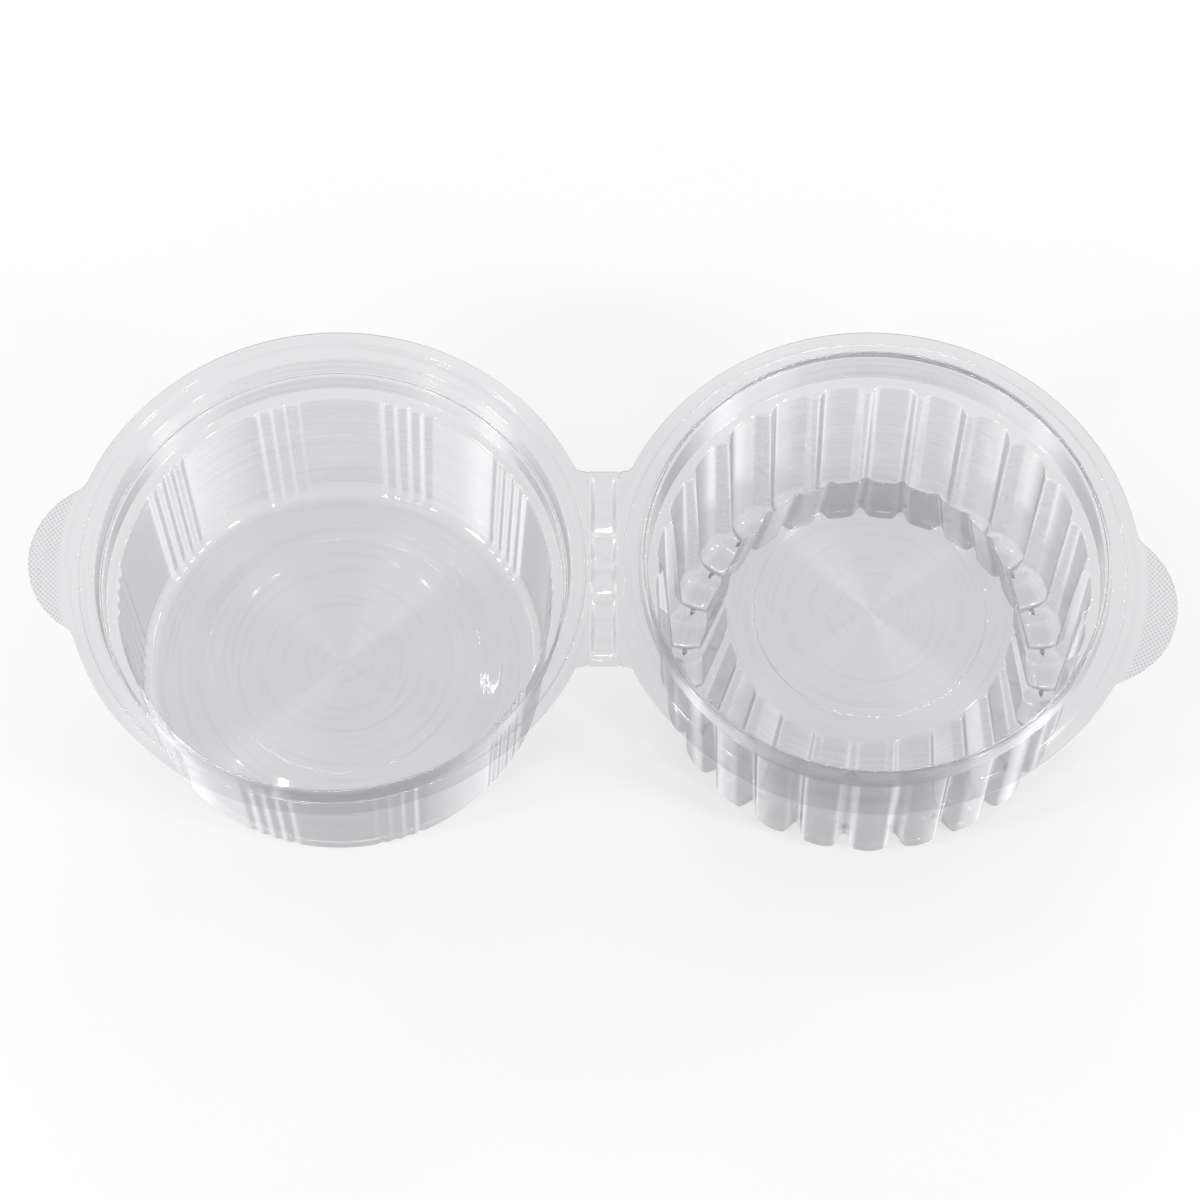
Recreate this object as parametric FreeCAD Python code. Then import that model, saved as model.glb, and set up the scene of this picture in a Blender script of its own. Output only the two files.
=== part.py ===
import FreeCAD, Part
import math
import os

from FreeCAD import Vector

# Round clear clamshell pack, formed from one plastic sheet and shown lying open.
# The tub (-X side) and the fluted lid (+X side) hang on a living hinge along Y.
# Millimetres, +Z up, origin on the table below the middle of the hinge line.

# Sheet and overall sizes
wall = 0.4                   # formed sheet thickness
half_height = 60.0           # table to the top face of both flanges
hinge_gap = 0.3              # space left between the two halves along the hinge
flange_gap = 0.3             # space between the flanges of the closed pack

# Flange, the same on both halves
flange_radius = 66.0
flange_width = 2.9           # out to the edge from the bead, a step all round
hinge_land = 1.2             # flange edge to hinge line, at its narrowest
bead_slope = 0.5

# Seal: recess in the tub and plug ring on the lid
ledge_drop = 1.0             # tub seal ledge below its flange
ledge_rise = 0.7             # lid seal ledge above its flange
seal_ledge_width = 3.6       # bead to the top of the recess wall
recess_depth = 7.0
recess_draft = 0.7           # the wall leans in by this much over its depth
plug_gap = 0.4               # recess wall to plug wall, all round
plug_height = 5.0            # above the lid flange
plug_width = 1.7             # of its flat crown

# Tub body
recess_step = 1.0            # foot of the recess wall to the neck below it
shoulder_depth = 14.0
shoulder_width = 2.8
tub_wall_lean = 3.0          # the wall closes in by this much down to the foot
tub_heel = 3.0               # bend of the inner face at the foot
foot_ring_width = 11.0       # wall foot to the inner edge of the ring it stands on
panel_rise = 2.6             # the floor panel stands this much above the table ring
panel_slope = 5.0            # width of the slope up to it

# Pattern of the tub wall: smooth panels between groups of narrow grooves
panel_count = 10
panel_angle = 21.0           # width of a smooth panel, degrees
grooves_per_group = 4
groove_depth = 0.7
groove_fade = 0.5            # share of the depth left at the foot

# Lid body: deep rounded fingers pressed out between narrow ridges
finger_count = 25
finger_side = 0.42           # finger middle to ridge crown, in pitches
finger_flat = 0.25           # finger middle to the edge of its flat
lid_ledge_depth = 6.5
finger_inset = 2.3           # lid ledge to the top of a finger
finger_lean = 1.6
finger_heel = 3.2            # bend of the inner face at the foot of a finger
trough_width = 10.4          # foot corner to foot corner
trough_bend = 2.4
ridge_top_inset = 2.0        # ridge behind finger, at the ledge
ridge_foot_inset = 3.3       # at the foot
ridge_floor_rise = 3.3
ridge_well_inset = 1.2       # beside the well
well_radius = 36.2           # where the fingers end on the well ring
well_depth = 24.5            # lid flange down to the well ring
disc_radius = 29.6           # the disc in the middle of the well ring
disc_drop = 1.4

# Pull tabs, side by side when closed
tab_reach = 10.0             # beyond the flange edge
tub_tab_angle = 176.6        # direction of the tip, degrees from +X
lid_tab_angle = -12.2
tab_steep_root = 24.0        # half widths where the tab meets the flange
tab_slope_root = 28.5
tab_corner = 9.0             # rounding into the flange edge
tab_crest = 1.5              # the tip of the lobe, off its middle line
tab_steep_end = 16.0         # where the steep side ends, off the middle line
tab_steep_back = 6.0         # and back from the tip
tab_slope_end = 10.5         # where the long side ends
tab_slope_back = 3.5

# Hinge strip with three pressed pockets
strip_corner = 6.0
strip_margin = 1.25          # past the end pockets
pocket_count = 3
pocket_half_width = 3.4
pocket_length = 16.0
pocket_rib = 0.9             # between two pockets
pocket_drop = 0.8
pocket_corner = 1.2

lap = 1.0                    # how far rings of the sheet overlap where they are joined

bead_radius = flange_radius - flange_width
recess_radius = bead_radius - bead_slope - seal_ledge_width
pocket_pitch = pocket_length + pocket_rib
strip_half_length = pocket_count * pocket_pitch / 2 + strip_margin
axis_offset = flange_radius + hinge_land      # hinge line to the axis of each half
base_z = wall                                 # inner face of what stands on the table


def unit(a, b):
    d = math.hypot(b[0] - a[0], b[1] - a[1])
    return (b[0] - a[0]) / d, (b[1] - a[1]) / d


def offset_path(path, gap):
    """The path moved sideways by gap, to the underside of the sheet."""
    dirs = [unit(a, b) for a, b in zip(path, path[1:])]
    moved = [(path[0][0] - dirs[0][1] * gap, path[0][1] + dirs[0][0] * gap)]
    for p, u, v in zip(path[1:-1], dirs, dirs[1:]):
        turn = 1 + u[0] * v[0] + u[1] * v[1]
        moved.append((p[0] - (u[1] + v[1]) * gap / turn, p[1] + (u[0] + v[0]) * gap / turn))
    moved.append((path[-1][0] - dirs[-1][1] * gap, path[-1][1] + dirs[-1][0] * gap))
    return moved


def eased(path, bends):
    """The path with its corners bent, each to a radius in a number of chords."""
    out = [path[0]]
    for i, (radius, chords) in enumerate(bends):
        a, p, b = path[i:i + 3]
        u, v = unit(a, p), unit(p, b)
        turn = math.atan2(u[0] * v[1] - u[1] * v[0], u[0] * v[0] + u[1] * v[1])
        reach = radius * math.tan(abs(turn) / 2)
        swing = math.copysign(radius, turn)
        start = (p[0] - u[0] * reach, p[1] - u[1] * reach)
        centre = (start[0] - u[1] * swing, start[1] + u[0] * swing)
        x, y = start[0] - centre[0], start[1] - centre[1]
        for k in range(chords + 1):
            c, s = (f(turn * k / max(chords, 1)) for f in (math.cos, math.sin))
            out.append((centre[0] + x * c - y * s, centre[1] + x * s + y * c))
    return out + [path[-1]]


def section(path, angle=0.0):
    """Corners of the formed sheet in the half plane at the given angle: its upper face
    is the path, and its underside lies one wall below."""
    c, s = math.cos(math.radians(angle)), math.sin(math.radians(angle))
    return [Vector(r * c, r * s, z) for r, z in path + offset_path(path, wall)[::-1]]


def turned(path):
    corners = section(path)
    face = Part.Face(Part.makePolygon(corners + corners[:1]))
    return face.revolve(Vector(0, 0, 0), Vector(0, 0, 1), 360)


def facets(a, b, c, d):
    """The four corners as one flat face, or as two along their shorter diagonal, which
    is the same one on both faces of the sheet."""
    if abs((b - a).cross(c - a).dot(d - a)) < 1e-6:
        return [Part.Face(Part.makePolygon([a, b, c, d, a]))]
    if (d - b).Length < (c - a).Length:
        a, b, c, d = b, c, d, a
    return [Part.Face(Part.makePolygon([p, q, r, p])) for p, q, r in ((a, b, c), (a, c, d))]


def pressed_ring(path_at, bends, angles, count, first_angle):
    """Sheet all round through its sections. The angles are those of one pitch,
    measured from its middle, and the pitch is repeated count times."""
    turns = [first_angle + 360.0 * i / count for i in range(count)]
    rings = [section(eased(path_at(a), bends), turn + a) for turn in turns for a in angles]
    faces = []
    for here, there in zip(rings, rings[1:] + rings[:1]):
        for j in range(len(here)):
            faces += facets(here[j - 1], here[j], there[j], there[j - 1])
    shell = Part.makeShell(faces)
    shell.sewShape()
    return Part.Solid(shell)


def tab_outline(angle, side):
    """Lobe with one steep and one long side, its tip in the given direction."""
    tip = flange_radius + tab_reach
    a = math.radians(angle)

    def at(u, v):
        v *= side
        return Vector(u * math.cos(a) - v * math.sin(a), u * math.sin(a) + v * math.cos(a), 0)

    corners = [at(tip - tab_slope_back, -tab_slope_end),
               at(math.sqrt(flange_radius ** 2 - tab_slope_root ** 2), -tab_slope_root),
               at(flange_radius / 2, -tab_slope_root), at(flange_radius / 2, tab_steep_root),
               at(math.sqrt(flange_radius ** 2 - tab_steep_root ** 2), tab_steep_root),
               at(tip - tab_steep_back, tab_steep_end)]
    lobe = Part.Arc(corners[-1], at(tip, tab_crest), corners[0]).toShape()
    return Part.Wire([lobe] + [Part.makeLine(p, q) for p, q in zip(corners, corners[1:])])


def rounded_corners(shape, points, radius):
    """Rounds the upright edges of a plate that stand at the given points."""
    edges = []
    for edge in shape.Edges:
        a, b = edge.Vertexes[0].Point, edge.Vertexes[-1].Point
        upright = abs(a.x - b.x) < 1e-4 and abs(a.y - b.y) < 1e-4 and abs(a.z - b.z) > 1e-4
        if upright and any(math.hypot(a.x - p[0], a.y - p[1]) < 0.5 for p in points):
            edges.append(edge)
    return shape.makeFillet(radius, edges)


def flange(toward_hinge, tab_angle, tab_side):
    """Flat flange of one half with its pull tab and its part of the hinge strip."""
    z = half_height - wall
    plate = Part.makeCylinder(flange_radius, wall, Vector(0, 0, z))
    tab = Part.Face(tab_outline(tab_angle, tab_side)).extrude(Vector(0, 0, wall))
    tab.translate(Vector(0, 0, z))
    reach = axis_offset - hinge_gap / 2
    strip = Part.makeBox(reach, 2 * strip_half_length, wall, Vector(0, -strip_half_length, z))
    if toward_hinge < 0:
        strip.rotate(Vector(0, 0, 0), Vector(0, 0, 1), 180)
    plate = plate.fuse([tab, strip]).removeSplitter()
    corner_x = toward_hinge * math.sqrt(flange_radius ** 2 - strip_half_length ** 2)
    plate = rounded_corners(plate, [(corner_x, strip_half_length), (corner_x, -strip_half_length)],
                            strip_corner)
    roots = []
    for v in (tab_steep_root, -tab_slope_root):
        a = math.radians(tab_angle) + tab_side * math.asin(v / flange_radius)
        roots.append((flange_radius * math.cos(a), flange_radius * math.sin(a)))
    plate = rounded_corners(plate, roots, tab_corner)
    hole = Part.makeCylinder(bead_radius, wall * 3, Vector(0, 0, z - wall))
    return plate.cut(hole)


def pocket_block(x, y, half_x, half_y, z0, z1, radius):
    """Upright block about (x, y), its corners rounded in two chords each."""
    points = []
    for quarter, (sx, sy) in enumerate(((1, 1), (-1, 1), (-1, -1), (1, -1))):
        for step in range(3):
            a = math.radians(90 * quarter + 45 * step)
            points.append(Vector(x + sx * (half_x - radius) + radius * math.cos(a),
                                 y + sy * (half_y - radius) + radius * math.sin(a), z0))
    return Part.Face(Part.makePolygon(points + points[:1])).extrude(Vector(0, 0, z1 - z0))


def hinge_pockets(toward_hinge):
    """The pockets cut from the strip and the pans that close them from below, both
    drawn whole about the hinge line, in the frame of one half."""
    line = toward_hinge * axis_offset
    floor = half_height - pocket_drop
    holes, pans = [], []
    for i in range(pocket_count):
        y = (i - (pocket_count - 1) / 2) * pocket_pitch
        w, h = pocket_half_width, pocket_length / 2
        holes.append(pocket_block(line, y, w, h, floor, half_height + 1, pocket_corner))
        pans.append(pocket_block(line, y, w + wall, h + wall, floor - wall, half_height,
                                 pocket_corner + wall))
    return holes, pans


def with_hinge(half, toward_hinge):
    holes, pans = hinge_pockets(toward_hinge)
    half = half.fuse(pans).cut(holes)
    line = toward_hinge * (axis_offset - hinge_gap / 2)
    beyond = line if toward_hinge > 0 else line - flange_radius
    far = Part.makeBox(flange_radius, 2 * flange_radius, 2 * half_height, Vector(beyond, -flange_radius, 0))
    return half.cut(far)


def tub_rim_path():
    top = half_height
    foot = recess_radius - recess_draft
    neck = foot - recess_step
    return [(bead_radius + lap, top), (bead_radius, top),
            (bead_radius - bead_slope, top - ledge_drop), (recess_radius, top - ledge_drop),
            (foot, top - recess_depth), (neck, top - recess_depth), (neck, top - shoulder_depth),
            (neck - shoulder_width / 2, top - shoulder_depth)]


def tub_wall_path(angle):
    """Section of the tub wall; the grooves lie inside the smooth panels."""
    period = 360.0 / panel_count
    groove = (period - panel_angle) / grooves_per_group
    beside = abs(angle) - panel_angle / 2
    depth = groove_depth * (beside > 1e-6 and round(beside / groove * 2) % 2)
    ledge_r = tub_rim_path()[-2][0]
    top_r = ledge_r - shoulder_width - depth
    foot_r = ledge_r - shoulder_width - tub_wall_lean - depth * groove_fade
    return [(ledge_r - shoulder_width / 4, half_height - shoulder_depth),
            (top_r, half_height - shoulder_depth), (foot_r, base_z), (foot_r - tub_heel - 2 * lap, base_z)]


def tub_angles():
    period = 360.0 / panel_count
    groove = (period - panel_angle) / grooves_per_group
    panel = [panel_angle * (i / 2 - 0.5) for i in range(3)]
    return panel + [panel_angle / 2 + groove * (i + 1) / 2 for i in range(2 * grooves_per_group - 1)]


def tub_floor_path():
    foot_r = tub_wall_path(0)[2][0]
    slope_r = foot_r - foot_ring_width
    high = base_z + panel_rise
    return [(foot_r - tub_heel - lap, base_z), (slope_r, base_z), (slope_r - panel_slope, high), (0, high)]


def tub():
    rim, floor = turned(tub_rim_path()), turned(tub_floor_path())
    walls = pressed_ring(tub_wall_path, [(0, 0), (tub_heel, 1)], tub_angles(), panel_count, 90)
    return with_hinge(rim.fuse(flange(1, tub_tab_angle, -1)), 1).fuse([floor, walls]).removeSplitter()


def lid_rim_path():
    top = half_height
    outer = recess_radius - plug_gap
    lean = recess_draft * (plug_height - ledge_rise) / (recess_depth - ledge_drop)
    crown = outer - lean
    inner = crown - plug_width
    return [(bead_radius + lap, top), (bead_radius - plug_gap, top),
            (bead_radius - bead_slope - plug_gap, top + ledge_rise), (outer, top + ledge_rise),
            (crown, top + plug_height), (inner, top + plug_height),
            (inner, top - lid_ledge_depth), (inner - finger_inset / 2, top - lid_ledge_depth)]


def lid_wall_path(angle):
    """Section through the fluted ring: along the flat of a finger in the middle of
    its pitch, along the crown of a ridge at its sides."""
    ridge = abs(angle) * finger_count / 360.0 > (finger_flat + finger_side) / 2
    ledge_r = lid_rim_path()[-2][0]
    top_r = ledge_r - finger_inset - ridge * ridge_top_inset
    foot_r = ledge_r - finger_inset - finger_lean - ridge * ridge_foot_inset
    low = base_z + ridge * ridge_floor_rise
    inner_r = ledge_r - finger_inset - finger_lean - trough_width + ridge * ridge_well_inset
    ring_z = half_height - well_depth
    return [(ledge_r - finger_inset / 4, half_height - lid_ledge_depth),
            (top_r, half_height - lid_ledge_depth), (foot_r, low), (inner_r, low),
            (well_radius + ridge * ridge_well_inset, ring_z),
            ((well_radius + disc_radius) / 2 - lap, ring_z)]


def lid_angles():
    return [share * 360.0 / finger_count
            for share in (-finger_side, -finger_flat, finger_flat, finger_side)]


def lid_well_path():
    ring_z = half_height - well_depth
    return [((well_radius + disc_radius) / 2, ring_z), (disc_radius, ring_z),
            (disc_radius - disc_drop / 2, ring_z - disc_drop), (0, ring_z - disc_drop)]


def lid():
    rim, well = turned(lid_rim_path()), turned(lid_well_path())
    bends = [(0, 0), (finger_heel, 2), (trough_bend, 1), (0, 0)]
    fingers = pressed_ring(lid_wall_path, bends, lid_angles(), finger_count, -90)
    return with_hinge(rim.fuse(flange(-1, lid_tab_angle, -1)), -1).fuse([well, fingers]).removeSplitter()


def export(name, shape, x):
    shape.translate(Vector(x, 0, 0))
    solids = sorted(shape.Solids, key=lambda s: -s.Volume)
    print(name, "solids", len(solids), "faces", len(shape.Faces), "valid", shape.isValid(),
          "volume cm3", round(shape.Volume / 1000, 2))
    solids[0].exportStep("parts/%s.step" % name)


os.makedirs("parts", exist_ok=True)
export("tub", tub(), -axis_offset)
export("lid", lid(), axis_offset)
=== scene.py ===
# %% [markdown]
# # A clear clamshell pack, lying open
# The real pack is one sheet of clear plastic, pressed into a round tub and a fluted lid with a
# living hinge between them. The moulded solids come from the frame and could be shown as they
# are, but clear plastic shows every bend as a line of light and every facet as a flaw. So each
# half gets a smooth thin skin over the same section, with true bends, panels and fingers. This
# cell loads the frame before anything is added.

# %% Load the frame
import math

import bmesh
import bpy
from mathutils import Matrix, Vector


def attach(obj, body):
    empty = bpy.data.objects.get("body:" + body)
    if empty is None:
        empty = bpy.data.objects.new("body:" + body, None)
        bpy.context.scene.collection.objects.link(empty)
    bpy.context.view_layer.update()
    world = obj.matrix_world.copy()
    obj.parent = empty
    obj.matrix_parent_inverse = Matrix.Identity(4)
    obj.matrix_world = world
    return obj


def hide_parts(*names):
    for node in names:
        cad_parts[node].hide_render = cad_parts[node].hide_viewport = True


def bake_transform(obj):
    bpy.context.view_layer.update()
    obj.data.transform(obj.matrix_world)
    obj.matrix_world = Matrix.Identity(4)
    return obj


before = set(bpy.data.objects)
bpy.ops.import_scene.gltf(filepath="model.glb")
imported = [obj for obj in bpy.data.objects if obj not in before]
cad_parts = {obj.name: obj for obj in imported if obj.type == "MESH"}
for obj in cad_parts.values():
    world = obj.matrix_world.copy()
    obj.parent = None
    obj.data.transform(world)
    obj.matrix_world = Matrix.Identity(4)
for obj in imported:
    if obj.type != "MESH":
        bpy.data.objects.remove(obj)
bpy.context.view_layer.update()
scene = bpy.context.scene

# %% [markdown]
# ## Sizes
# The sizes are those of the solids, in millimetres, so the skin lies on them. A section could
# be drawn by hand as a curve, but a path of corners (radius, height) is shorter and says what
# was meant. Every corner has an inside bend, as sheet has.

# %% Sizes of the sheet and the flange
MM = 0.001
WALL = 0.4
TOP = 60.0                       # flange height
AXIS = 67.2                      # hinge line to the axis of each half
FLANGE, BEAD = 66.0, 63.1        # radius of the edge, and of the step inside it
STRIP_X, STRIP_Y = 3.6, 26.6     # half width and half length of the hinge strip
print("centres of the two halves at x =", -AXIS, AXIS)

# %% Section of the tub, flange to floor
TUB_PATH = [(FLANGE, TOP), (BEAD, TOP), (62.6, TOP - 1), (59, TOP - 1), (58.3, TOP - 7),
            (57.3, TOP - 7), (57.3, TOP - 14), (54.5, TOP - 14), (51.5, WALL), (40.5, WALL),
            (35.5, 3), (31, 3), (30.5, 2.5), (0, 2.5)]
TUB_BENDS = [0.2, 0.2, 0.4, 0.2, 0.2, 0.4, 0.4, 3.5, 0.4, 0.4, 0.2, 0.2]
TUB_GROOVES = {7: (-0.7, 0), 8: (-0.35, 0)}      # how a groove moves these corners
TUB_STEPS = 480
print("tub section corners", len(TUB_PATH))

# %% Section of the lid, flange to well
LID_PATH = [(FLANGE, TOP), (62.7, TOP), (62.2, TOP + 0.7), (58.6, TOP + 0.7), (58.1, TOP + 5),
            (56.4, TOP + 5), (56.4, TOP - 6.5), (54.1, TOP - 6.5), (52.5, WALL), (42.1, WALL),
            (36.2, 35.5), (29.6, 35.5), (28.9, 34.1), (0, 34.1)]
LID_BENDS = [0.2, 0.2, 0.2, 0.2, 0.2, 0.4, 0.4, 3.5, 4.0, 0.4, 0.2, 0.2]
LID_RIDGES = {7: (-2.0, 0), 8: (-3.3, 3.3), 9: (1.2, 3.3), 10: (1.2, 0)}
LID_STEPS = 500
FINGERS = 25
print("lid section corners", len(LID_PATH))

# %% [markdown]
# ## From corners to a bent section
# Sheet can't be folded to a sharp corner: it bends. A bevel modifier could round the corners
# after the spin, but it would be slow and uneven here. So each corner becomes a short arc
# already in the path, and a support point stands just before and after it, which keeps smooth
# shading flat on the straight runs. A plain path and the one pressed by a groove or ridge get
# the same number of points, so one can be moved to the other point by point.


# %% Bend a path
ARC_POINTS, SUPPORT, SUPPORT_SHARE = 5, 0.35, 0.3
EDGE_SUPPORT = 0.05              # the first support point stays inside the hinge side


def bend_path(path, bends):
    """The path with its corners bent: the sheet's upper face, outside to middle."""
    pts = [Vector(p) for p in path]
    out = [pts[0]]
    for i, bend in enumerate(bends):
        a, b, c = pts[i:i + 3]
        u, v = (b - a).normalized(), (c - b).normalized()
        turn = math.acos(max(-1, min(1, u.dot(v))))
        outer = u.x * v.y - u.y * v.x > 0
        radius = bend + WALL if outer else bend
        run = radius * math.tan(turn / 2)
        inward, side = (v - u).normalized(), (v + u).normalized()
        centre = b + inward * radius / math.cos(turn / 2)
        before = SUPPORT if i else EDGE_SUPPORT
        out.append(b - u * (run + min(before, SUPPORT_SHARE * ((b - a).length - run))))
        for k in range(ARC_POINTS):
            s = (k / (ARC_POINTS - 1) - 0.5) * turn
            out.append(centre - inward * radius * math.cos(s) + side * radius * math.sin(s))
        out.append(b + v * (run + min(SUPPORT, SUPPORT_SHARE * ((c - b).length - run))))
    return out + [pts[-1]]


def press(path, moves):
    """A copy of the path with some corners moved by (radius, height)."""
    moved = [tuple(p) for p in path]
    for i, (r, z) in moves.items():
        moved[i] = (path[i][0] + r, path[i][1] + z)
    return moved


print("points in the bent sections", len(bend_path(TUB_PATH, TUB_BENDS)),
      len(bend_path(LID_PATH, LID_BENDS)))

# %% [markdown]
# ## Spin a section into a shell
# The halves are round, so the bent section is spun round the axis. The grooves and fingers
# could be cut with booleans, which leaves ragged edges in thin sheet. Instead each point
# carries the step that it takes where a groove or a ridge passes, kept as a vertex layer that
# the spin copies, and one pass afterwards presses the whole pattern in by its angle.


# %% Spin and press the pattern
def spun_shell(path, bends, steps, moves, pattern):
    plain, pressed = bend_path(path, bends), bend_path(press(path, moves), bends)
    bm = bmesh.new()
    dr, dz = bm.verts.layers.float.new("dr"), bm.verts.layers.float.new("dz")
    edge = bm.verts.layers.int.new("edge")
    row = []
    for p, q in zip(plain, pressed):
        v = bm.verts.new((p.x, 0, p.y))
        v[dr], v[dz] = q.x - p.x, q.y - p.y
        row.append(v)
    row[0][edge] = 1
    bm.verts.ensure_lookup_table()
    wires = [bm.edges.new(pair) for pair in zip(row, row[1:])]
    bmesh.ops.spin(bm, geom=row + wires, cent=(0, 0, 0), axis=(0, 0, 1), angle=2 * math.pi,
                   steps=steps, use_merge=True)
    bmesh.ops.remove_doubles(bm, verts=bm.verts, dist=0.002)
    for v in bm.verts:
        r, a = math.hypot(v.co.x, v.co.y), math.atan2(v.co.y, v.co.x)
        amount = pattern(a)
        if r > 1 and (v[dr] or v[dz]):
            grown = (r + v[dr] * amount) / r
            v.co = Vector((v.co.x * grown, v.co.y * grown, v.co.z + v[dz] * amount))
    return bm


# %% [markdown]
# ## The patterns round the two walls
# The tub's wall is ten smooth panels with four narrow grooves between each pair, and the lid's
# is 25 rounded fingers. A texture could fake them, but they change the outline of the feet.
# Each is a function of the angle alone, 0 where the wall is plain and 1 where it is pressed.


# %% Patterns
def smooth(a, b, t):
    t = max(0, min(1, (t - a) / (b - a)))
    return t * t * (3 - 2 * t)


def tub_groove(angle):
    """0 on a smooth panel, and 1 in the bottom of each of the four grooves beside it."""
    period, panel, pitch = 36.0, 21.0, 3.75
    a = abs((math.degrees(angle) - 90 + period / 2) % period - period / 2) - panel / 2
    return 0 if a < 0 else 0.5 - 0.5 * math.cos(2 * math.pi * a / pitch)


def lid_ridge(angle):
    """0 in the middle of a finger, and 1 on the crown of a ridge."""
    t = abs(((math.degrees(angle) + 90) * FINGERS / 360 + 0.5) % 1 - 0.5) * 2
    return 0.35 * t * t + 0.65 * smooth(0.55, 0.95, t)


print("groove 12 degrees from the middle of a panel", round(tub_groove(math.radians(102)), 2))

# %% [markdown]
# ## The outline of the flange
# Both flanges are round, with a pull tab on the outer side and a straight side where the hinge
# begins. The tab could be a mesh of its own, but on the real pack it is the same flat sheet, so
# only the outermost ring of points is pushed out to this outline. The tab is the nearest of a
# steep line, a sloped line and a round lobe, blended softly into the round.

# %% Outline of one flange
TAB_STEEP, TAB_SLOPE = (59.56, 46.8), (64.95, -35.8)     # distance, and direction in degrees
LOBE_CENTRE, LOBE_RADIUS = (54.73, 1.19), 21.27
TAB_TIP, TAB_SHARE = 76.0, 0.94
TAB_SPAN, HINGE_SPAN = 0.7, 0.6                          # half angles that they act in, radians
TAB_BLEND, NECK_BLEND = 1.2, 2.0


def soft_over(over, blend):
    """The part above zero, with its corner rounded."""
    return 0.5 * (over + math.sqrt(over * over + blend))


def line_at(line, angle):
    return line[0] / math.cos(angle - math.radians(line[1]))


def outline(angle, tab_angle, hinge_angle):
    """Distance from the axis to the flange edge, for an angle in degrees."""
    a = math.radians((angle - tab_angle + 180) % 360 - 180)
    r = FLANGE
    if abs(a) < TAB_SPAN:
        u, v = LOBE_CENTRE
        along, across = u * math.cos(a) + v * math.sin(a), v * math.cos(a) - u * math.sin(a)
        tip = along + math.sqrt(max(0, LOBE_RADIUS ** 2 - across ** 2))
        over = min(line_at(TAB_STEEP, a), line_at(TAB_SLOPE, a), tip) - FLANGE
        r += TAB_SHARE * soft_over(over, TAB_BLEND) if over > -6 else 0
    h = math.radians((angle - hinge_angle + 180) % 360 - 180)
    if abs(h) < HINGE_SPAN:
        if abs(h) <= math.atan2(STRIP_Y, AXIS - STRIP_X) + 0.004:
            return (AXIS - STRIP_X) / math.cos(h)
        r = FLANGE + soft_over(STRIP_Y / math.sin(abs(h)) - FLANGE, NECK_BLEND)
    return min(r, TAB_TIP)


print("edge at the tab and at the hinge", round(outline(176.6, 176.6, 0), 2),
      round(outline(0, 176.6, 0), 2))

# %% [markdown]
# ## The two shells
# Both halves are made by the same steps. The sheet is far thinner than its bends, so a double
# wall would only darken it and slow the light. The skin is a single surface, and Solidify folds
# its rim down by the thickness, so the cut edge shows as the bright line that a sheet has. The
# edge is marked sharp, or the shading of the flat flange would bend towards it.


# %% From a mesh in millimetres to a piece of sheet
def new_object(name, bm):
    mesh = bpy.data.meshes.new(name)
    bm.to_mesh(mesh)
    bm.free()
    thing = bpy.data.objects.new(name, mesh)
    scene.collection.objects.link(thing)
    return thing


def new_sheet(name, bm):
    bmesh.ops.scale(bm, verts=bm.verts, vec=(MM, MM, MM))
    for f in bm.faces:
        f.smooth = True
    for e in bm.edges:
        e.smooth = not e.is_boundary
    piece = new_object(name, bm)
    skin = piece.modifiers.new("sheet", "SOLIDIFY")
    skin.thickness, skin.offset, skin.use_rim_only = WALL * MM, -1, True
    return piece


# %% Make a half
def make_half(name, bm, centre_x, tab_angle, hinge_angle, body, node):
    edge = bm.verts.layers.int["edge"]
    for v in bm.verts:
        if v[edge]:
            a = math.atan2(v.co.y, v.co.x)
            r = outline(math.degrees(a), tab_angle, hinge_angle)
            v.co = Vector((r * math.cos(a), r * math.sin(a), v.co.z))
    bmesh.ops.recalc_face_normals(bm, faces=bm.faces)
    if sum(f.normal.z * f.calc_area() for f in bm.faces) < 0:
        bmesh.ops.reverse_faces(bm, faces=bm.faces)
    bmesh.ops.translate(bm, verts=bm.verts, vec=(centre_x, 0, 0))
    piece = new_sheet(name, bm)
    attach(piece, body)
    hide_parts(node)
    print(name, len(piece.data.polygons), "faces", [round(v, 4) for v in piece.dimensions])
    return piece


tub = make_half("tub_shell", spun_shell(TUB_PATH, TUB_BENDS, TUB_STEPS, TUB_GROOVES, tub_groove),
                -AXIS, 176.6, 0, "tub", "tub")
lid = make_half("lid_shell", spun_shell(LID_PATH, LID_BENDS, LID_STEPS, LID_RIDGES, lid_ridge),
                AXIS, -12.2, 180, "lid", "lid")

# %% [markdown]
# ## The living hinge
# A living hinge is a strip of the same sheet that bends each time the lid closes. Three dished
# pockets are pressed into it. It could be cut in two, half for each body, but then it would
# tear open. So it is one fine grid whose points sink by a rounded step and a shallow dish. The
# dish catches the light as a patch in each pocket.


# %% Depth of the pockets
def pillow_depth(x, y):
    """How far the strip sinks at (x, y): three pockets with rounded corners."""
    pitch, half_x, half_y, corner = 16.9, 3.1, 7.9, 1.4
    step, bowl = 0.6, 1.3
    cell = y - round(max(-1, min(1, y / pitch))) * pitch
    qx, qy = abs(x) - half_x + corner, abs(cell) - half_y + corner
    outside = math.hypot(max(qx, 0), max(qy, 0)) + min(max(qx, qy), 0) - corner
    dish = max(0, 1 - (cell / half_y) ** 2) * (1 - smooth(-1.2, 0, outside))
    return step * (1 - smooth(-0.45, 0.35, outside)) + bowl * dish


print("pocket depth in mm", pillow_depth(0, 0))


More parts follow.
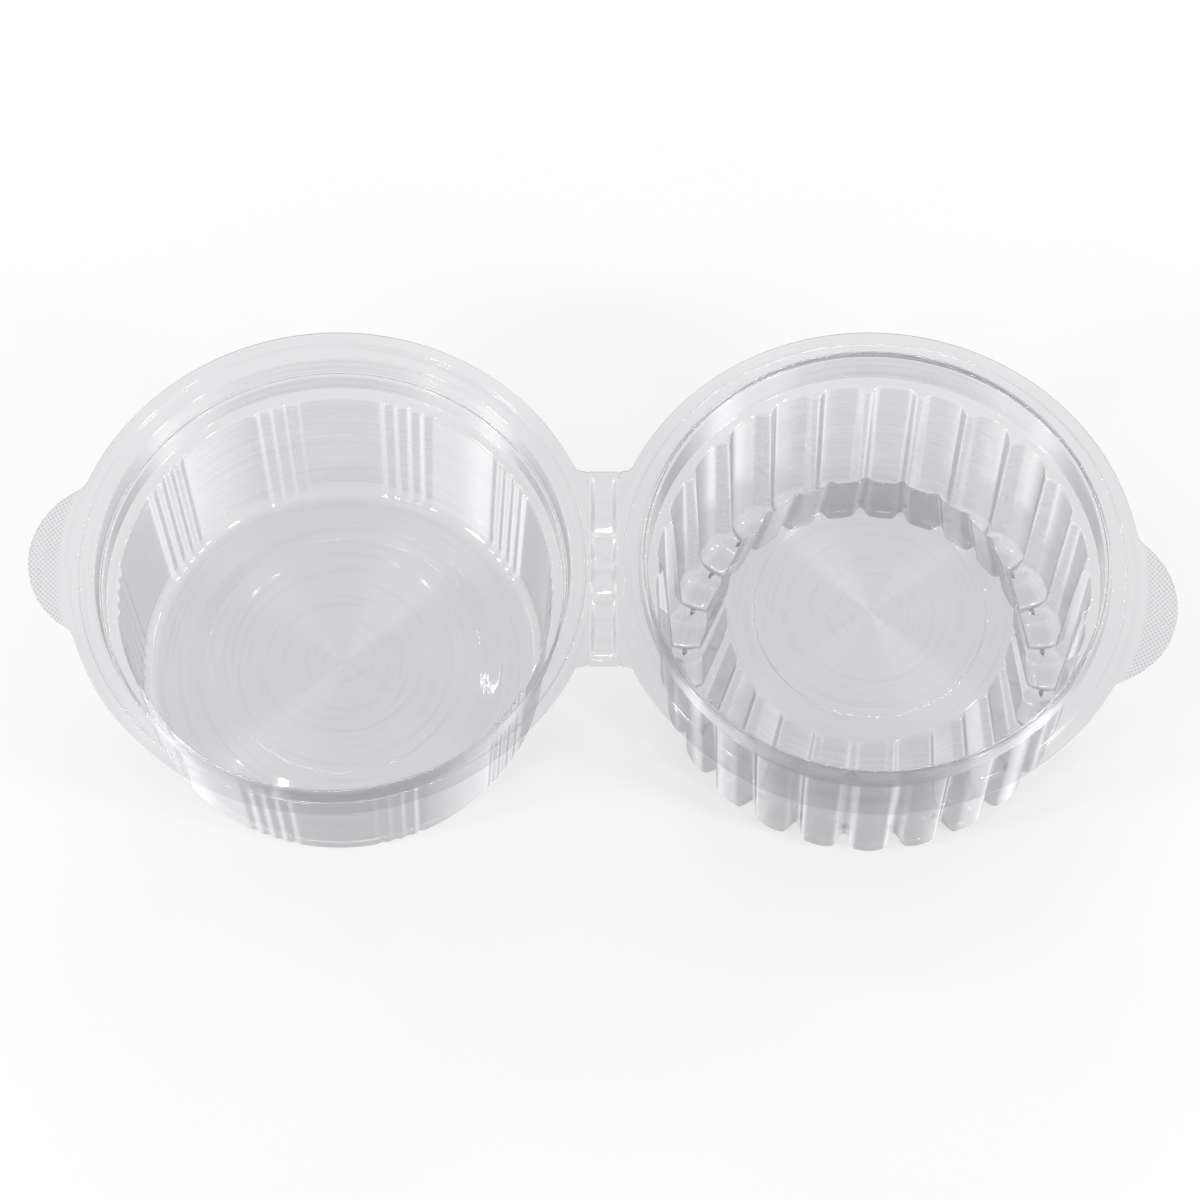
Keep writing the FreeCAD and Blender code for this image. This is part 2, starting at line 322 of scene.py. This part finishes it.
# %% Make the hinge strip
def make_hinge():
    bm = bmesh.new()
    bmesh.ops.create_grid(bm, x_segments=36, y_segments=200, size=1)
    bmesh.ops.scale(bm, verts=bm.verts, vec=(STRIP_X, STRIP_Y, 1))
    for v in bm.verts:
        v.co.z = TOP - pillow_depth(v.co.x, v.co.y)
    piece = new_sheet("living_hinge", bm)
    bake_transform(piece)
    print("hinge strip", [round(v, 4) for v in piece.dimensions])
    return piece


hinge = make_hinge()

# %% [markdown]
# ## Shader maths
# A material is a sum of masks, and its nodes could be placed one by one. A small class wraps a
# socket instead, so that a mask is written as the sum that it is.


# %% Wrapped sockets
class Wire:
    def __init__(self, tree, socket=None):
        self.tree, self.socket = tree, socket

    def node(self, kind, settings=(), **inputs):
        """A new node. An input is named, or numbered as i0, i1 and so on."""
        n = self.tree.nodes.new(kind)
        for key, value in dict(settings).items():
            setattr(n, key, value)
        for key, value in inputs.items():
            slot = n.inputs[int(key[1:])] if key[1:].isdigit() else n.inputs[key.replace("_", " ")]
            if isinstance(value, Wire):
                self.tree.links.new(value.socket, slot)
            else:
                slot.default_value = value
        return n

    def out(self, node, name=0):
        return Wire(self.tree, node.outputs[name])

    def math(self, operation, a, b=0.0):
        return self.out(self.node("ShaderNodeMath", {"operation": operation}, i0=a, i1=b))

    def ramp(self, value, low, high):
        return self.out(self.node("ShaderNodeMapRange", {"interpolation_type": "SMOOTHSTEP"},
                                  Value=value, From_Min=low, From_Max=high))

    def mix(self, factor, a, b):
        return self.node("ShaderNodeMixShader", i0=factor, i1=self.out(a), i2=self.out(b))

    def __add__(self, o): return self.math("ADD", self, o)
    def __radd__(self, o): return self.math("ADD", o, self)
    def __sub__(self, o): return self.math("SUBTRACT", self, o)
    def __mul__(self, o): return self.math("MULTIPLY", self, o)
    def __rmul__(self, o): return self.math("MULTIPLY", o, self)
    def __pow__(self, o): return self.math("POWER", self, o)


def ray_masks(wire, *names):
    """1 for rays of these kinds, and 0 for others."""
    rays = wire.node("ShaderNodeLightPath")
    return [wire.out(rays, name) for name in names]


print("operators", [name for name in dir(Wire) if name in ("__add__", "__sub__", "__mul__", "__pow__")])

# %% [markdown]
# ## Clear plastic
# Thin clear sheet shows what is behind it almost unchanged when seen square on, and turns grey
# and shiny where it is seen at a slant. Real refraction would need a closed wall and many light
# bounces, and the sheet is too thin to bend the view. So it is a mix: see-through, darker towards
# the slant by painted shade that draws the dark lines of steep walls and bends, with gloss on top
# that grows with the slant on both faces alike. The mould leaves fine turning marks, noise over
# radius and height, so they are rings on a floor and level lines on a wall. The marks also smear
# the lamps into strips, which is the brushed sheen.
# Its grain follows the texture space, centred on each axis. The tabs have rows of grip dots.
# A lamp's ray passes many layers, so for shadows alone one plain tint stands for all of this.

# %% Values of the plastic
# The second colour is painted shade: the dark tint that steep walls and bends take where the sheet is
# seen at a slant.
SEE_THROUGH, SHADE_AT_SLANT = (0.855, 0.858, 0.87, 1), (0.16, 0.165, 0.18, 1)
MIRROR_TINT = (0.97, 0.97, 0.98, 1)
SHADOW_TINT = (0.68, 0.682, 0.69, 1)     # what the lamps lose in one layer of sheet
SLANT_POWER = 3.5
GLOSS_SQUARE_ON = 0.055                  # share mirrored where the sheet is seen square on
MARKS_PER_M, MARKS_ROUND = 700, 0.8      # scale of the turning marks across, and round the axis
DOT_ROWS, DOTS_ROUND = 5200, 330
TAB_FROM, TAB_TO = 0.0672, 0.0684        # radius where the dots fade in
print("mirrored square on", GLOSS_SQUARE_ON)


# %% The sheet material
def clear_sheet(name, centre_x):
    material = bpy.data.materials.new(name)
    material.use_nodes = True
    tree = material.node_tree
    tree.nodes.clear()
    w = Wire(tree)
    xyz = w.node("ShaderNodeSeparateXYZ", i0=w.out(w.node("ShaderNodeTexCoord"), "Object"))
    x, y, z = (w.out(xyz, i) for i in range(3))
    dx = x - centre_x * MM
    radius, angle = w.math("SQRT", dx * dx + y * y), w.math("ARCTAN2", y, dx)

    ring = w.node("ShaderNodeCombineXYZ", i0=radius * MARKS_PER_M, i1=z * MARKS_PER_M,
                  i2=angle * MARKS_ROUND)
    lines = w.out(w.node("ShaderNodeTexNoise", i0=w.out(ring), Scale=1.0, Detail=1.0))
    rows = w.math("SINE", radius * DOT_ROWS + w.math("SINE", angle * 40) * 0.8)
    dots = rows * w.math("SINE", angle * DOTS_ROUND) * w.ramp(radius, TAB_FROM, TAB_TO)
    bump = w.node("ShaderNodeBump", Height=lines + dots * 0.8, Strength=0.2, Distance=0.0002)
    normal = w.out(bump)

    slant = w.out(w.node("ShaderNodeLayerWeight", Blend=0.5), "Facing")
    waved = w.out(w.node("ShaderNodeLayerWeight", Blend=0.5, Normal=normal), "Facing")
    mirrored = GLOSS_SQUARE_ON + (1 - GLOSS_SQUARE_ON) * waved ** 5.0
    # Painted shade: the sheet is mixed towards the dark tint where it is seen at a slant, for the dark
    # lines of steep walls and bends; the turning marks and grip dots add their own tone to the same
    # mix.
    painted_shade_and_marks = slant ** SLANT_POWER + (lines - 0.5) * 0.25 + dots * 0.4
    painted_shade_and_marks = w.math("MINIMUM", w.math("MAXIMUM", painted_shade_and_marks, 0.0), 1.0)

    through = w.node("ShaderNodeBsdfTransparent", Color=SEE_THROUGH)
    dark = w.node("ShaderNodeBsdfTransparent", Color=SHADE_AT_SLANT)
    gloss = w.node("ShaderNodeBsdfPrincipled", Base_Color=MIRROR_TINT, Roughness=0.06,
                   Metallic=1.0, Normal=normal)
    sheen = w.node("ShaderNodeBsdfPrincipled", Base_Color=MIRROR_TINT, Roughness=0.6,
                   Metallic=1.0, Anisotropic=1.0, Anisotropic_Rotation=0.25)
    body = w.mix(mirrored, w.mix(painted_shade_and_marks, through, dark), gloss)
    sheet = w.mix(0.05 + 0.3 * slant, body, sheen)
    in_shadow = w.mix(ray_masks(w, "Is Shadow Ray")[0], sheet,
                      w.node("ShaderNodeBsdfTransparent", Color=SHADOW_TINT))
    w.node("ShaderNodeOutputMaterial", Surface=w.out(in_shadow))
    print(name, "nodes", len(tree.nodes))
    return material


# %% Dress the pieces
for shell, centre in ((tub, -AXIS), (lid, AXIS), (hinge, 0)):
    shell.data.materials.append(clear_sheet("clear_" + shell.name, centre))
    shell.data.use_auto_texspace = False
    shell.data.texspace_location = (centre * MM, 0, 0.03)
    shell.data.texspace_size = (0.08, 0.08, 0.04)
    print(shell.name, "wears", shell.data.materials[0].name)

# %% [markdown]
# ## Floor
# The pack stands on a plain white sweep. A white floor lit to full white would need lamps that
# bleach the plastic, so part of its white is its own glow, and only for rays that come from
# the camera or a mirror. The rest is lit, and keeps the soft shadow of the pack.


# %% Floor
def make_floor():
    bm = bmesh.new()
    bmesh.ops.create_grid(bm, x_segments=1, y_segments=1, size=6)
    floor = new_object("floor", bm)
    material = bpy.data.materials.new("pale_floor")
    material.use_nodes = True
    shader = material.node_tree.nodes["Principled BSDF"]
    shader.inputs["Base Color"].default_value = (0.33, 0.33, 0.33, 1)
    shader.inputs["Roughness"].default_value = 0.9
    shader.inputs["Specular IOR Level"].default_value = 0.0
    shader.inputs["Emission Color"].default_value = (1, 1, 1, 1)
    wire = Wire(material.node_tree)
    seen, in_gloss = ray_masks(wire, "Is Camera Ray", "Is Glossy Ray")
    glow = 0.59 * wire.math("MAXIMUM", seen, in_gloss)
    wire.tree.links.new(glow.socket, shader.inputs["Emission Strength"])
    floor.data.materials.append(material)
    floor.location.z = -0.0003
    print("floor", [round(v, 1) for v in floor.dimensions])


make_floor()

# %% [markdown]
# ## Light
# In a studio a clear pack is lit by what it mirrors. One big soft box would fog it. Two pairs
# of narrow upright lamps stand in front, where the walls and their marks pull them into the
# bright strips on the panels. Three long thin ones lie low behind and draw the lines of light
# on the rims. The azimuths were worked out from where the strips are in the photo.

# %% Lamps
LAMP_DISTANCE, LAMP_STRENGTH, LAMP_AIM = 0.95, 34, Vector((0, 0, 0.03))
LAMPS = {                                # azimuth, height in degrees, and size
    "front_left": (222, 45, (0.06, 0.22)), "front_right": (319, 45, (0.06, 0.22)),
    "left": (202, 32, (0.1, 0.28)), "right": (336, 32, (0.1, 0.28)),
    "left_back": (150, 38, (0.5, 0.02)), "right_back": (30, 38, (0.5, 0.02)),
    "back": (90, 38, (0.6, 0.05))}


def direction(azimuth, height):
    a, h = math.radians(azimuth), math.radians(height)
    return Vector((math.cos(a) * math.cos(h), math.sin(a) * math.cos(h), math.sin(h)))


for name, (azimuth, height, size) in LAMPS.items():
    data = bpy.data.lights.new(name, "AREA")
    data.shape, data.size, data.size_y = "RECTANGLE", size[0], size[1]
    data.energy = LAMP_STRENGTH * size[0] * size[1] * math.pi
    light = bpy.data.objects.new(name, data)
    light.location = direction(azimuth, height) * LAMP_DISTANCE
    light.rotation_euler = (LAMP_AIM - light.location).to_track_quat("-Z", "Y").to_euler()
    scene.collection.objects.link(light)
print("lamps", len(LAMPS))

# %% [markdown]
# ## Surroundings
# The world is white to the camera, as the backdrop is, and dimmer as a light, so that the
# bends keep dark lines beside their bright ones.

# %% World
world = bpy.data.worlds.new("studio")
scene.world = world
world.use_nodes = True
sky = world.node_tree.nodes["Background"]
air = Wire(world.node_tree)
seen, in_gloss, across = ray_masks(air, "Is Camera Ray", "Is Glossy Ray", "Is Transmission Ray")
strength = 0.3 + 0.7 * air.math("MAXIMUM", seen, across) + 0.1 * in_gloss
sky.inputs["Color"].default_value = (1, 1, 1, 1)
world.node_tree.links.new(strength.socket, sky.inputs["Strength"])
print("world nodes", len(world.node_tree.nodes))

# %% [markdown]
# ## Camera
# The photo looks down at the open pack from its front, with little perspective. Its angle was
# fitted to the ellipses of the rims and the floors, and the lens to the width of the flanges.
# Light passes many layers of sheet but seldom turns, so few bounces and many see-through
# steps are enough.

# %% Camera and light paths
ELEVATION, REACH = math.radians(65), 1.2
PX_PER_MM, PHOTO_PX, SENSOR = 4.05, 1200, 36
AIM = Vector((-0.0009, -0.0088, TOP * MM))
camera_data = bpy.data.cameras.new("camera")
camera_data.sensor_width = SENSOR
camera_data.lens = SENSOR * PX_PER_MM * REACH * 1000 / PHOTO_PX
camera = bpy.data.objects.new("camera", camera_data)
look = Vector((0, math.cos(ELEVATION), -math.sin(ELEVATION)))
camera.location = AIM - look * REACH
camera.rotation_euler = look.to_track_quat("-Z", "Y").to_euler()
scene.collection.objects.link(camera)
scene.camera = camera
scene.view_settings.view_transform = "Standard"
scene.cycles.max_bounces, scene.cycles.glossy_bounces, scene.cycles.diffuse_bounces = 1, 1, 0
scene.cycles.transparent_max_bounces = 20
print("lens", round(camera_data.lens, 1))

# %% [markdown]
